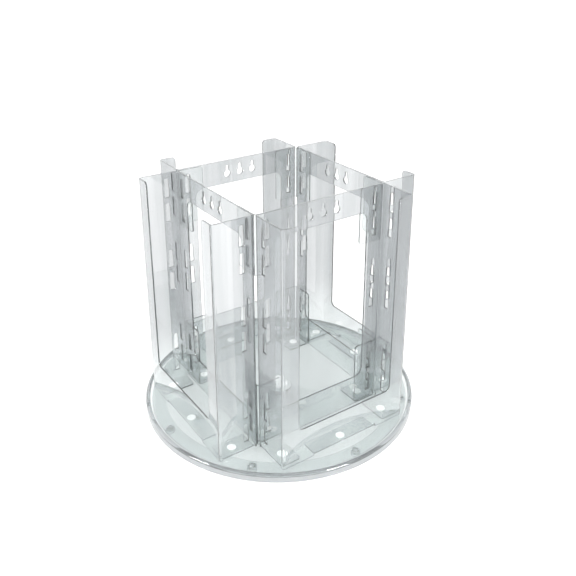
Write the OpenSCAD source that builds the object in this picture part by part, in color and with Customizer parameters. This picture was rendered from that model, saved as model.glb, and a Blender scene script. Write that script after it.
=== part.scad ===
// Four-sided revolving holder for flat plastic bags.
// Four clear sheet pockets stand back to back round a square open core.
// They ride on a round tray that turns on a flat base about a centre pivot.
// Origin: centre of the feet's resting plane. +Z up. Millimetres.

/* [Pockets] */
// Outside width of one pocket, and so the side of the square core
pocket_w = 194; // [180:1:200]
// Depth of a pocket, from its back wall to its front face
pocket_d = 56; // [48:1:58]
// Height of a pocket
pocket_h = 318; // [300:1:360]
// Thickness of the clear sheet
sheet = 2; // [1.5:0.1:2.5]
// Outside radius of each bend
bend_r = 4; // [3:0.5:5]
// Width of each front lip
lip_w = 24; // [18:1:30]
// Radius of the free corner at the top of each lip
lip_corner_r = 5; // [3:1:12]
// Height of the bar across the front
front_bar_h = 47.5; // [35:0.5:60]
// Radius where a lip runs into the front bar
front_corner_r = 7; // [4:1:12]

/* [Back wall] */
// Width of the window in the back wall
window_w = 140; // [120:1:142]
// Height of the bar under the window
window_sill = 43.5; // [35:0.5:60]
// Height of the bar over the window
window_head = 34; // [30:1:45]
// Corner radius of the window
window_r = 12; // [6:1:20]
// Distance between the keyholes
keyhole_pitch = 20.5; // [18:0.5:24]
// Round end of a keyhole
keyhole_d = 10; // [8:0.5:11]
// Narrow end of a keyhole
keyhole_slot_w = 4.4; // [4:0.1:5]
// Height of a keyhole's round centre below the top edge
keyhole_drop = 19.5; // [17:0.5:21]

/* [Slots] */
// Height of one tapered slot
slot_h = 26.5; // [22:0.5:28]
// Width of a slot at its flat lower end
slot_wide = 7; // [5:0.1:8]
// Width of a slot at its round upper end
slot_narrow = 5.4; // [3:0.1:6]
// Distance between the two slots of a pair
slot_pitch = 34.5; // [31:0.5:38]
// Distance from a corner to the slots in the back wall
wall_slot_inset = 15; // [13:0.5:18]
// Distance from the back wall to the slots in the sides
side_slot_inset = 17.5; // [14:0.5:20]
// Height of the lowest pair's centre
pair_low = 45; // [42:1:48]
// Height of the middle pair's centre
pair_mid = 176; // [150:1:190]
// Height of the top pair's centre
pair_top = 279; // [262:1:281]

/* [Corner connectors] */
// Width of a connector's arm
arm_w = 37; // [30:1:42]
// Height of an upper connector
upper_h = 77; // [74:1:90]
// Height of a lower connector
lower_h = 89; // [84:1:100]
// Side of the lower connector's foot
foot_w = 34; // [30:1:36]

/* [Fixing flanges] */
// Width of the flanges along a pocket's bottom edge
flange_w = 29; // [24:1:32]
// Diameter of a push rivet's head
rivet_head_d = 12; // [10:0.5:14]
// Diameter of a push rivet's hole
rivet_hole_d = 6.4; // [5:0.1:7]
// Distance from a side panel to its rivet
side_rivet_in = 16; // [13:1:18]
// Distance from the front face to the front rivet
front_rivet_in = 12; // [10:1:16]

/* [Base] */
// Diameter of the turning tray
tray_d = 381; // [370:1:400]
// Height of the tray's top face above the table
tray_top = 11; // [10:0.5:14]
// Thickness of the tray's plate
tray_t = 2.5; // [2:0.1:2.5]
// Diameter of the fixed base disc
base_d = 364; // [350:1:366]
// Radius of the circle of glides and feet
glide_circle_r = 174; // [170:0.5:175]
// Number of glides and of feet
glide_count = 8; // [4:1:12]
// Diameter of a glide button's domed head
glide_head_d = 11; // [9:0.5:13]
// Diameter of the pivot bolt
pivot_d = 8; // [6:0.5:10]

/* [Hidden] */
$fn = 96;

clear = [0.87, 0.9, 0.89, 0.45];
clear_base = [0.8, 0.84, 0.83, 0.5];
frosted = [0.95, 0.96, 0.95, 0.85];

eps = 1;                                   // cutters reach this far past a face
core_half = pocket_w / 2;                  // the core faces lie this far from the axis
running_gap = 0.05;                        // clearance in each running fit
foot_h = 3;
foot_d = 13;
foot_flat_d = 9;
foot_straight = 1.4;
base_t = 2.5;
base_top = foot_h + base_t;
track_t = 1.5;
track_top = base_top + track_t;
tray_under = tray_top - tray_t;
tray_r = tray_d / 2;
skirt_t = 3;
skirt_low = 1;                             // gap under the tray's skirt
bead_r = 3;
bead_z = tray_top - 1.5;
track_w = 18;
track_outer = base_d / 2 - 1;
hub_r = 17;
bush_od = 14;
bush_flange_d = 22;
bush_flange_t = 1.5;
bush_top = tray_top + bush_flange_t;
bolt_head_d = 20;
bolt_head_t = 2;
washer_od = 20;
washer_t = 1.2;
nut_af = 13;
nut_h = 6;
nut_bottom = bush_top + running_gap + washer_t;
glide_shank_d = 6;
glide_foot_d = 12;
dome_h = 1.6;
rivet_head_h = 2;
rivet_tip_z = 6.3;                         // the rivets end above the base disc
rivet_pin_d = 3;
core_rivet_in = 18;                        // from both core faces
flange_corner_r = 3;
front_flange_w = 24;
pin_head_d = 6;
upper_z = pocket_h - upper_h - 1;
slot_levels = [for (c = [pair_low, pair_mid, pair_top], s = [-1, 1]) c + s * slot_pitch / 2];

// A rectangle with one corner at the origin and all four corners rounded
module round_rect(w, h, r) {
    translate([r, 0]) square([w - 2 * r, h]);
    translate([0, r]) square([w, h - 2 * r]);
    for (x = [r, w - r], y = [r, h - r]) translate([x, y]) circle(r);
}

// What rounding takes off a square corner: the corner is at the origin, the material at -x, -y
module corner_waste(r) {
    translate([-r, -r]) difference() {
        square(r + eps);
        circle(r);
    }
}

// Draws a flat outline standing up in the XZ plane, from y = 0 to y = -t
module upright(t) {
    rotate([90, 0, 0]) linear_extrude(t) children();
}

// One slot, centred: narrow and round at the top, wide and flat at the bottom
module slot_outline() {
    r = slot_narrow / 2;
    top = slot_h / 2 - r;
    translate([0, top]) circle(r, $fn = 48);
    polygon([[-r, top], [-slot_wide / 2, -slot_h / 2], [slot_wide / 2, -slot_h / 2], [r, top]]);
}

module keyhole_outline() {
    rise = 10;
    circle(d = keyhole_d, $fn = 64);
    translate([-keyhole_slot_w / 2, 0]) square([keyhole_slot_w, rise]);
    translate([0, rise]) circle(d = keyhole_slot_w, $fn = 48);
}

module window_outline() {
    h = pocket_h - window_sill - window_head;
    translate([-window_w / 2, window_sill]) round_rect(window_w, h, window_r);
}

// The gap between the lips, open at the top, with the lips' free corners rounded off
module front_gap_outline() {
    half = pocket_w / 2 - lip_w;
    h = pocket_h - front_bar_h;
    translate([-half, front_bar_h]) round_rect(2 * half, h + eps + front_corner_r, front_corner_r);
    for (s = [-1, 1]) translate([s * half, pocket_h]) mirror([s > 0 ? 1 : 0, 0])
        corner_waste(lip_corner_r);
}

// Plan of a pocket: a closed tube with four bends, back face on y = 0
module pocket_plan() {
    translate([-pocket_w / 2, 0]) difference() {
        round_rect(pocket_w, pocket_d, bend_r);
        translate([sheet, sheet])
            round_rect(pocket_w - 2 * sheet, pocket_d - 2 * sheet, bend_r - sheet);
    }
}

// Flanges folded in from the sides and the front bar, with a rivet hole in each
module pocket_flanges() {
    side_run = pocket_d - 2 * bend_r - 2;
    front_run = pocket_w / 2;
    linear_extrude(sheet) difference() {
        union() {
            for (s = [-1, 1]) translate([s * (core_half - sheet / 2), bend_r]) mirror([s > 0 ? 1 : 0, 0])
                round_rect(flange_w, side_run, flange_corner_r);
            translate([-front_run / 2, pocket_d - sheet / 2 - front_flange_w])
                round_rect(front_run, front_flange_w, flange_corner_r);
        }
        pocket_rivet_places() circle(d = rivet_hole_d, $fn = 64);
    }
}

// Puts a child at each of a pocket's three rivets
module pocket_rivet_places() {
    for (s = [-1, 1]) translate([s * (core_half - side_rivet_in), pocket_d / 2 + 3, 0]) children();
    translate([0, pocket_d - front_rivet_in, 0]) children();
}

// Slots of the back wall and of both sides
module pocket_slots() {
    deep = sheet + 2 * eps;
    for (z = slot_levels, s = [-1, 1]) {
        translate([s * (core_half - wall_slot_inset), sheet + eps, z]) upright(deep) slot_outline();
        translate([s * (core_half + eps), side_slot_inset, z]) rotate([0, 0, s * 90])
            upright(deep) slot_outline();
    }
}

module pocket() {
    color(clear) {
        difference() {
            linear_extrude(pocket_h) pocket_plan();
            translate([0, pocket_d + eps, 0]) upright(sheet + 2 * eps) front_gap_outline();
            translate([0, sheet + eps, 0]) upright(sheet + 2 * eps) window_outline();
            for (i = [-1, 0, 1])
                translate([i * keyhole_pitch, sheet + eps, pocket_h - keyhole_drop])
                    upright(sheet + 2 * eps) keyhole_outline();
            pocket_slots();
        }
        pocket_flanges();
    }
}

// Turns a child drawn for the +Y side to one of the four sides and lifts it onto the tray
module on_side(turns) {
    rotate([0, 0, 90 * turns]) translate([0, core_half, tray_top]) children();
}

module pocket_front() { on_side(2) pocket(); }
module pocket_right() { on_side(3) pocket(); }
module pocket_back() { on_side(0) pocket(); }
module pocket_left() { on_side(1) pocket(); }

// Plan of a connector: two arms along -x and -y from a rounded corner at the origin
module connector_plan() {
    difference() {
        corner_square(arm_w, bend_r);
        translate([-sheet, -sheet]) corner_square(arm_w + eps, bend_r - sheet);
    }
}

// A square at -x, -y of the origin with only that corner rounded
module corner_square(side, r) {
    difference() {
        translate([-side, -side]) square(side);
        corner_waste(r);
    }
}

// Puts a child, drawn on the arm along -x, on both arms
module both_arms() {
    children();
    mirror([1, -1, 0]) children();
}

// Connector from z = 0 to z = h, with slots at the given heights
module connector(h, levels) {
    deep = sheet + 2 * eps;
    end_r = 4;
    difference() {
        linear_extrude(h) connector_plan();
        both_arms() {
            for (z = levels) translate([-wall_slot_inset, eps, z]) upright(deep) slot_outline();
            translate([-arm_w, eps, h]) upright(deep) mirror([1, 0]) corner_waste(end_r);
            translate([-arm_w, eps, 0]) upright(deep) mirror([1, 0]) mirror([0, 1]) corner_waste(end_r);
        }
    }
}

// Foot of a lower connector, with the hole for its rivet
module connector_foot() {
    far = -foot_w - sheet / 2;
    linear_extrude(sheet) difference() {
        translate([far, far]) round_rect(foot_w, foot_w, flange_corner_r);
        translate([-core_rivet_in, -core_rivet_in]) circle(d = rivet_hole_d, $fn = 64);
    }
}

// Turns a child drawn for the +X, +Y corner of the core to corner i
module on_corner(i) {
    rotate([0, 0, 90 * (i - 1)]) translate([core_half, core_half, tray_top]) children();
}

module upper_connector(i) {
    color(clear) on_corner(i) translate([0, 0, upper_z])
        connector(upper_h, [for (s = [-1, 1]) pair_top + s * slot_pitch / 2 - upper_z]);
}

module lower_connector(i) {
    color(clear) on_corner(i) {
        connector(lower_h, [for (s = [-1, 1]) pair_low + s * slot_pitch / 2]);
        connector_foot();
    }
}

// A low dome standing on z = 0
module dome(d, h) {
    ball_r = (d * d / 4 + h * h) / (2 * h);
    rotate_extrude() intersection() {
        translate([0, h - ball_r]) circle(ball_r, $fn = 360);
        square([d / 2, h]);
    }
}

// Push rivet: head on z = 0, sprung shank below it, with a bore for its pin
module rivet_body() {
    reach = tray_top + sheet - rivet_tip_z;
    color(frosted) difference() {
        union() {
            dome(rivet_head_d, rivet_head_h);
            translate([0, 0, -reach]) cylinder(d = rivet_hole_d - 0.2, h = reach);
        }
        translate([0, 0, -reach - eps]) cylinder(d = rivet_pin_d, h = reach + rivet_head_h + 2 * eps);
    }
}

module rivet_pin() {
    reach = tray_top + sheet - rivet_tip_z;
    color(frosted) {
        translate([0, 0, rivet_head_h]) dome(pin_head_d, 1);
        translate([0, 0, -reach]) cylinder(d = rivet_pin_d - 2 * running_gap, h = reach + rivet_head_h);
    }
}

module rivets_of_side(turns) {
    on_side(turns) translate([0, 0, sheet]) pocket_rivet_places() children();
}

module rivets_of_core() {
    for (i = [1:4]) on_corner(i) translate([-core_rivet_in, -core_rivet_in, sheet]) children();
}

module rivet_bodies_front() { rivets_of_side(2) rivet_body(); }
module rivet_bodies_right() { rivets_of_side(3) rivet_body(); }
module rivet_bodies_back() { rivets_of_side(0) rivet_body(); }
module rivet_bodies_left() { rivets_of_side(1) rivet_body(); }
module rivet_pins_front() { rivets_of_side(2) rivet_pin(); }
module rivet_pins_right() { rivets_of_side(3) rivet_pin(); }
module rivet_pins_back() { rivets_of_side(0) rivet_pin(); }
module rivet_pins_left() { rivets_of_side(1) rivet_pin(); }
module core_rivet_bodies() { rivets_of_core() rivet_body(); }
module core_rivet_pins() { rivets_of_core() rivet_pin(); }

// A flat ring from z = 0 to z = h
module ring(od, id, h) {
    difference() {
        cylinder(d = od, h = h);
        translate([0, 0, -eps]) cylinder(d = id, h = h + 2 * eps);
    }
}

// Puts a child at each place on the circle of glides
module glide_places() {
    for (i = [0:glide_count - 1]) rotate([0, 0, 360 * i / glide_count])
        translate([glide_circle_r, 0, 0]) children();
}

module base_disc() {
    color(clear_base) translate([0, 0, foot_h]) ring(base_d, pivot_d, base_t, $fn = 180);
}

// Domed bumpers that the base stands on
module base_feet() {
    color(clear) glide_places() {
        translate([0, 0, foot_h - foot_straight]) cylinder(d = foot_d, h = foot_straight);
        cylinder(d1 = foot_flat_d, d2 = foot_d, h = foot_h - foot_straight);
    }
}

// Low-friction ring that the glides run on
module track_ring() {
    color(clear_base) translate([0, 0, base_top])
        ring(2 * track_outer, 2 * (track_outer - track_w), track_t, $fn = 180);
}

module thrust_washer() {
    color(frosted) translate([0, 0, base_top]) ring(2 * hub_r, bush_od + 1, track_t);
}

module pivot_bolt() {
    color(frosted) {
        translate([0, 0, foot_h - bolt_head_t]) cylinder(d = bolt_head_d, h = bolt_head_t);
        translate([0, 0, foot_h]) cylinder(d = pivot_d, h = nut_bottom + nut_h + 1 - foot_h);
    }
}

module pivot_washer() {
    color(frosted) translate([0, 0, nut_bottom - washer_t]) ring(washer_od, pivot_d, washer_t);
}

module pivot_nut() {
    color(frosted) translate([0, 0, nut_bottom]) difference() {
        cylinder(d = nut_af / cos(30), h = nut_h, $fn = 6);
        translate([0, 0, -eps]) cylinder(d = pivot_d, h = nut_h + 2 * eps);
    }
}

// Plate with a hub boss underneath, a skirt and a rounded rim
module turntable_tray() {
    bore_r = bush_od / 2;
    hub_under = track_top + running_gap;
    color(clear_base) difference() {
        rotate_extrude($fn = 180) {
            translate([bore_r, tray_under]) square([tray_r - skirt_t / 2 - bore_r, tray_t]);
            translate([bore_r, hub_under]) square([hub_r - bore_r, tray_under - hub_under + eps]);
            translate([tray_r - skirt_t, skirt_low]) square([skirt_t, bead_z - skirt_low]);
            translate([tray_r - bead_r, bead_z]) circle(bead_r);
        }
        glide_places() translate([0, 0, tray_under - eps])
            cylinder(d = glide_shank_d, h = tray_t + 2 * eps);
        for (k = [0:3]) rivets_of_side(k) tray_hole();
        rivets_of_core() tray_hole();
    }
}

module tray_hole() {
    translate([0, 0, -sheet - tray_t - eps]) cylinder(d = rivet_hole_d, h = tray_t + 2 * eps);
}

// Flanged bush in the tray's hub, running on the bolt
module pivot_bush() {
    bore_d = pivot_d + 2 * running_gap;
    low = base_top + 0.3;
    color(frosted) difference() {
        union() {
            translate([0, 0, low]) cylinder(d = bush_od, h = bush_top - low);
            translate([0, 0, tray_top]) cylinder(d = bush_flange_d, h = bush_flange_t);
        }
        translate([0, 0, low - eps]) cylinder(d = bore_d, h = bush_top - low + 2 * eps);
    }
}

// Snap-in glides: a dome on the tray, a shank through it and a flat foot on the track
module glide_buttons() {
    foot_bottom = track_top + running_gap;
    color(clear) glide_places() {
        translate([0, 0, tray_top]) dome(glide_head_d, dome_h);
        translate([0, 0, foot_bottom]) cylinder(d = glide_shank_d, h = tray_top - foot_bottom);
        translate([0, 0, foot_bottom]) cylinder(d = glide_foot_d, h = tray_under - foot_bottom);
    }
}

base_disc();
base_feet();
track_ring();
thrust_washer();
pivot_bolt();
pivot_washer();
pivot_nut();
turntable_tray();
pivot_bush();
glide_buttons();
pocket_front();
pocket_right();
pocket_back();
pocket_left();
upper_connector(1);  // upper_connector_1
upper_connector(2);  // upper_connector_2
upper_connector(3);  // upper_connector_3
upper_connector(4);  // upper_connector_4
lower_connector(1);  // lower_connector_1
lower_connector(2);  // lower_connector_2
lower_connector(3);  // lower_connector_3
lower_connector(4);  // lower_connector_4
rivet_bodies_front();
rivet_bodies_right();
rivet_bodies_back();
rivet_bodies_left();
rivet_pins_front();
rivet_pins_right();
rivet_pins_back();
rivet_pins_left();
core_rivet_bodies();
core_rivet_pins();
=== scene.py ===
# %% [markdown]
# A revolving bag holder in clear plastic
#
# This countertop holder is made almost wholly of clear sheet. Four pockets stand back to back round an
# open core, and they ride on a round tray that turns on a flat base. The lesson cuts each sheet flat,
# folds it as a workshop would, and lets real thickness, real bends and real air gaps make the glassy look.

# %% Load the frame
import math

import bpy
from mathutils import Matrix, Vector
from mathutils.geometry import delaunay_2d_cdt


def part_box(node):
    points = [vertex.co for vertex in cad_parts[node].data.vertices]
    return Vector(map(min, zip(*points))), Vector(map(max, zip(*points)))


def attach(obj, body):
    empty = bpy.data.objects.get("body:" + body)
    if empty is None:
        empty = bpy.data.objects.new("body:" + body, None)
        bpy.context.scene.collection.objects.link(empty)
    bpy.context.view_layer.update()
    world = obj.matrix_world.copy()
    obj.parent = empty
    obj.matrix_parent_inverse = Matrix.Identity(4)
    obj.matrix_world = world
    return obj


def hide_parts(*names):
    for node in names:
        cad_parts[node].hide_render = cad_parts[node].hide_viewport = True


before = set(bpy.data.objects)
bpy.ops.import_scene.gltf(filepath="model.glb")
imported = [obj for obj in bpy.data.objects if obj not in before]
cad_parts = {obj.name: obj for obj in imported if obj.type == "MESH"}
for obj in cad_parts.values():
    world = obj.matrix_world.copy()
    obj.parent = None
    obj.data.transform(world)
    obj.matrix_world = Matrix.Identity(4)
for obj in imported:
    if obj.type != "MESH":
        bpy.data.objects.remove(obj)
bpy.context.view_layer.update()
MM = 0.001

# %% [markdown]
# The sizes that several pieces share are measured on the CAD nodes, so that every piece lands where the
# model says. All lengths in this lesson are in millimetres until a mesh is made.

# %% Measure the main sizes
core_low, core_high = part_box("pocket_back")
tray_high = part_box("turntable_tray")[1]
pocket_width = (core_high.x - core_low.x) / MM
core_half = core_low.y / MM
pocket_depth = (core_high.y - core_low.y) / MM
pocket_height = (core_high.z - core_low.z) / MM
tray_top = core_low.z / MM
tray_radius = tray_high.x / MM
sheet = 2.0
fold_radius = 3.0
print("pocket", pocket_width, pocket_depth, pocket_height, "tray", tray_radius, tray_top)

# %% [markdown]
# Shader maths reads best as ordinary expressions. This small class wraps one node socket, so that
# `1 - scuffs * 0.4` adds the Math nodes by itself. Every other node comes from one method, which takes the
# node's type, then its settings, then the values or links of its sockets.

# %% A shader graph written as expressions
class Sock:
    """One output socket of a material's node tree, with arithmetic on it."""

    def __init__(self, tree, socket):
        self.tree, self.socket = tree, socket

    def node(self, kind, settings=None, out=0, **sockets):
        return add_node(self.tree, kind, settings, out, **sockets)

    def _math(self, operation, a, b):
        return self.node("ShaderNodeMath", {"operation": operation}, _0=a, _1=b)

    def __add__(self, other): return self._math("ADD", self, other)
    def __radd__(self, other): return self._math("ADD", other, self)
    def __sub__(self, other): return self._math("SUBTRACT", self, other)
    def __rsub__(self, other): return self._math("SUBTRACT", other, self)
    def __mul__(self, other): return self._math("MULTIPLY", self, other)
    def __rmul__(self, other): return self._math("MULTIPLY", other, self)

    def above(self, edge, soft):
        """0 below edge, 1 past edge + soft, smooth between."""
        return self.node("ShaderNodeMapRange", {"interpolation_type": "SMOOTHSTEP"}, Value=self,
                         From_Min=edge, From_Max=edge + soft)


def add_node(tree, kind, settings=None, out=0, **sockets):
    """Adds a node: settings first, then socket values or links. `_0` names a socket by its place."""
    node = tree.nodes.new(kind)
    for name, value in (settings or {}).items():
        setattr(node, name, value)
    for name, value in sockets.items():
        socket = node.inputs[int(name[1:])] if name[0] == "_" else node.inputs[name.replace("_", " ")]
        if isinstance(value, Sock):
            tree.links.new(value.socket, socket)
        else:
            socket.default_value = value
    return Sock(tree, node.outputs[out])


# %% [markdown]
# The sheet is a clear plastic such as acrylic, very slightly grey green all through. A colour on the
# surface alone would tint every part alike. An absorbing volume inside darkens light by the length it
# travels, so a wall seen face on is pale and its cut edge is darker, as on real sheet. The surface is
# polished, with slow ripples, a few rub marks and slightly duller patches. Acrylic bends light at about
# 1.49. The pockets are given 1.56 and a thin coat instead, a choice of look that strengthens their
# reflections. A little haze scatters light, so that many layers together turn milky and not black.
#
# The tints below are choices of look too. The real holder looks bright at its foot, probably from light
# that comes up through the base, and here part of that is put into the colour: the pockets get paler
# towards the foot, and the corner pieces are paler than the pockets. Nothing shows that the real plastics
# differ so. A scene with other light should set them all alike.

# %% Clear plastic
def clear_plastic(name, tint_at, density, ripple_size, dull, ior, coat, haze):
    """A clear plastic with an absorbing body and a rippled, worn skin. tint_at(place) gives its colour."""
    material = bpy.data.materials.new(name)
    material.use_nodes = True
    tree = material.node_tree
    tree.nodes.clear()
    place = add_node(tree, "ShaderNodeTexCoord", out=3)
    ripples = place.node("ShaderNodeTexNoise", {}, Vector=place, Scale=ripple_size, Detail=1.5, Roughness=0.4)
    patches = place.node("ShaderNodeTexNoise", {}, Vector=place, Scale=31.0, Detail=4.0, Roughness=0.62)
    stretched = place.node("ShaderNodeMapping", {"vector_type": "POINT"}, Vector=place,
                           Rotation=(0.5, 0.35, 0.2), Scale=(38.0, 38.0, 900.0))
    rubs = place.node("ShaderNodeTexNoise", {}, Vector=stretched, Scale=1.0, Detail=2.0, Roughness=0.5)
    rub_lines = rubs.above(0.66, 0.1) * patches.above(0.5, 0.2)
    gloss = dull + patches.above(0.45, 0.35) * dull * 1.2 + rub_lines * 0.07
    skin = place.node("ShaderNodeBump", {}, Strength=0.03, Distance=0.002, Height=ripples + rub_lines * 0.01)
    surface = place.node("ShaderNodeBsdfPrincipled", {}, Base_Color=tint_at(place), Roughness=gloss, Normal=skin,
                         IOR=ior, Transmission_Weight=1 - haze, Coat_Weight=coat, Coat_IOR=ior, Coat_Roughness=dull)
    body = place.node("ShaderNodeVolumeAbsorption", {}, Color=(0.64, 0.67, 0.67, 1), Density=density)
    output = tree.nodes.new("ShaderNodeOutputMaterial")
    tree.links.new(surface.socket, output.inputs["Surface"])
    tree.links.new(body.socket, output.inputs["Volume"])
    return material


def blend_tints(place, share, first, second):
    """One colour into another by a share from 0 to 1."""
    return place.node("ShaderNodeMix", {"data_type": "RGBA"}, out=2, _0=share, _6=first, _7=second)


def sheet_tint(place):
    """Upright flow streaks, fading to a pale foot that stands in for light from the base."""
    drawn = place.node("ShaderNodeMapping", {"vector_type": "POINT"}, Vector=place, Scale=(1.0, 1.0, 0.03))
    flow = drawn.node("ShaderNodeTexNoise", {}, Vector=drawn, Scale=55.0, Detail=3.0, Roughness=0.6)
    streaks = blend_tints(place, flow.above(0.35, 0.3), (0.71, 0.72, 0.73, 1), (0.63, 0.645, 0.655, 1))
    rise = place.node("ShaderNodeSeparateXYZ", {}, out=2, Vector=place)
    return blend_tints(place, rise.above(0.014, 0.10), (0.95, 0.975, 0.975, 1), streaks)


def corner_tint(place):
    """Paler than the pockets, so that the layers at the corners don't add up too dark."""
    cloud = place.node("ShaderNodeTexNoise", {}, Vector=place, Scale=40.0, Detail=2.0, Roughness=0.5)
    return blend_tints(place, cloud.above(0.4, 0.3), (0.96, 0.975, 0.975, 1), (0.90, 0.92, 0.92, 1))


def base_tint_with_shaded_rim(place):
    """Almost clear over the plate, with painted shade in the rim: greyer there, which sets it off from the pale floor.
    """
    flat = place.node("ShaderNodeVectorMath", {"operation": "MULTIPLY"}, _0=place, _1=(1, 1, 0))
    reach = place.node("ShaderNodeVectorMath", {"operation": "LENGTH"}, out=1, _0=flat)
    # Past 184 mm from the middle the colour turns greyer. This is painted shade on the rim, not a darker plastic.
    return blend_tints(place, reach.above(0.1842, 0.0015), (0.92, 0.95, 0.95, 1), (0.5, 0.52, 0.53, 1))


def button_tint(place):
    """Nearly clear, with a faint cloud."""
    cloud = place.node("ShaderNodeTexNoise", {}, Vector=place, Scale=240.0, Detail=2.0, Roughness=0.5)
    return blend_tints(place, cloud.above(0.4, 0.3), (0.95, 0.96, 0.96, 1), (0.88, 0.90, 0.90, 1))


clear_sheet = clear_plastic("clear_sheet", sheet_tint, 150.0, 7.0, 0.008, 1.56, 0.6, 0.06)
clear_corner = clear_plastic("clear_corner", corner_tint, 110.0, 9.0, 0.008, 1.49, 0.0, 0.05)
clear_base = clear_plastic("clear_base", base_tint_with_shaded_rim, 25.0, 5.0, 0.010, 1.49, 0.0, 0.09)
clear_button = clear_plastic("clear_button", button_tint, 60.0, 60.0, 0.01, 1.49, 0.3, 0.02)
print("clear plastics", [m.name for m in (clear_sheet, clear_corner, clear_base, clear_button)])

# %% [markdown]
# The push rivets and the pivot hardware are natural nylon: milky white, light passes a little way in, and
# the skin is satin with fine moulding grain. Real heads gather light from below and look bright. Tracing
# that through several clear layers is slow and noisy, so a weak glow of the material's own stands in.

# %% Natural nylon
def natural_nylon(name):
    material = bpy.data.materials.new(name)
    material.use_nodes = True
    tree = material.node_tree
    tree.nodes.clear()
    place = add_node(tree, "ShaderNodeTexCoord", out=3)
    cloud = place.node("ShaderNodeTexNoise", {}, Vector=place, Scale=180.0, Detail=3.0, Roughness=0.6)
    grain = place.node("ShaderNodeTexNoise", {}, Vector=place, Scale=2600.0, Detail=2.0, Roughness=0.5)
    colour = place.node("ShaderNodeMix", {"data_type": "RGBA"}, out=2, _0=cloud.above(0.3, 0.4),
                        _6=(0.96, 0.965, 0.96, 1), _7=(0.91, 0.92, 0.915, 1))
    skin = place.node("ShaderNodeBump", {}, Strength=0.12, Distance=0.0002, Height=grain)
    surface = place.node("ShaderNodeBsdfPrincipled", {}, Base_Color=colour, Roughness=0.26 + cloud * 0.16,
                         Normal=skin, IOR=1.5, Transmission_Weight=0.2,
                         Emission_Color=(0.96, 0.98, 0.97, 1), Emission_Strength=0.35)
    output = tree.nodes.new("ShaderNodeOutputMaterial")
    tree.links.new(surface.socket, output.inputs["Surface"])
    return material


nylon = natural_nylon("natural_nylon")
print("nylon", nylon.name)

# %% [markdown]
# Every sheet part starts as a flat outline. Real parts are cut by a router or a laser, which always leaves
# small radii, so the outline helper rounds each corner by the radius given with it.

# %% Draw a flat outline
def outline(corners, step=15):
    """A closed outline through (x, y, radius) corners, each rounded with short straight steps."""
    points = []
    for i, (x, y, r) in enumerate(corners):
        here, before, after = Vector((x, y)), Vector(corners[i - 1][:2]), Vector(corners[(i + 1) % len(corners)][:2])
        if r <= 0:
            points.append(here)
            continue
        a, b = (before - here).normalized(), (after - here).normalized()
        turn = math.pi - a.angle(b)
        reach = r * math.tan(turn / 2)
        centre = here + (a + b).normalized() * (r / math.cos(turn / 2))
        start, end = here + a * reach - centre, here + b * reach - centre
        steps = max(2, math.ceil(math.degrees(turn) / step))
        side = 1 if start.cross(end) > 0 else -1
        for k in range(steps + 1):
            angle = side * turn * k / steps
            points.append(centre + Matrix.Rotation(angle, 2) @ start)
    return points


def ring_points(x, y, r, count):
    return [Vector((x + r * math.cos(2 * math.pi * k / count), y + r * math.sin(2 * math.pi * k / count)))
            for k in range(count)]


def area_of(points):
    return sum(a.cross(b) for a, b in zip(points, points[1:] + points[:1])) / 2


def shifted(points, dx, dy=0.0):
    return [Vector((p.x + dx, p.y + dy)) for p in points]


sample_square = outline([(0, 0, 3), (20, 0, 3), (20, 20, 3), (0, 20, 3)])
print("a 20 mm square with 3 mm corners has", len(sample_square), "points")

# %% [markdown]
# One builder makes every sheet part. The outline is filled with triangles, with extra lines wherever the
# sheet will fold, so the folds come out smooth. Both skins are made at once, and a rounded profile closes
# the gap between them along each cut, like a flame polished edge. A `place` function then carries every
# flat point to its folded position, and gives the direction that is outward there. The exact directions
# become the mesh's shading normals, so wide flat walls stay perfectly flat in reflections.

# %% Cut and fold a sheet
POLISH = 0.4


def polished_edge(thickness, radius=POLISH, steps=3):
    """Profile rows (outward, through, normal outward, normal through) round one cut edge."""
    rows = []
    for k in range(steps + 1):
        a = math.pi / 2 * (1 - k / steps)
        inward, up = radius * (math.cos(a) - 1), thickness / 2 + radius * (math.sin(a) - 1)
        rows.append((inward, up, math.cos(a), math.sin(a)))
    return rows + [(o, -w, no, -nw) for o, w, no, nw in reversed(rows)]


def inset(points, amount):
    """Moves an outline into the sheet (its left side) by amount."""
    moved = []
    for i, p in enumerate(points):
        a, b = (p - points[i - 1]).normalized(), (points[(i + 1) % len(points)] - p).normalized()
        left = Vector((-(a.y + b.y), a.x + b.x)).normalized()
        moved.append(p + left * (amount / max(0.3, left.dot(Vector((-b.y, b.x))))))
    return moved


def inside(loops, x, y):
    """True if a point is inside an odd number of loops, given as (points, low x, low y, high x, high y)."""
    found = False
    for loop, low_x, low_y, high_x, high_y in loops:
        if not (low_x < x < high_x and low_y < y < high_y):
            continue
        for p, q in zip(loop, loop[1:] + loop[:1]):
            if (p.y > y) != (q.y > y) and x < (q.x - p.x) * (y - p.y) / (q.y - p.y) + p.x:
                found = not found
    return found


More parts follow.
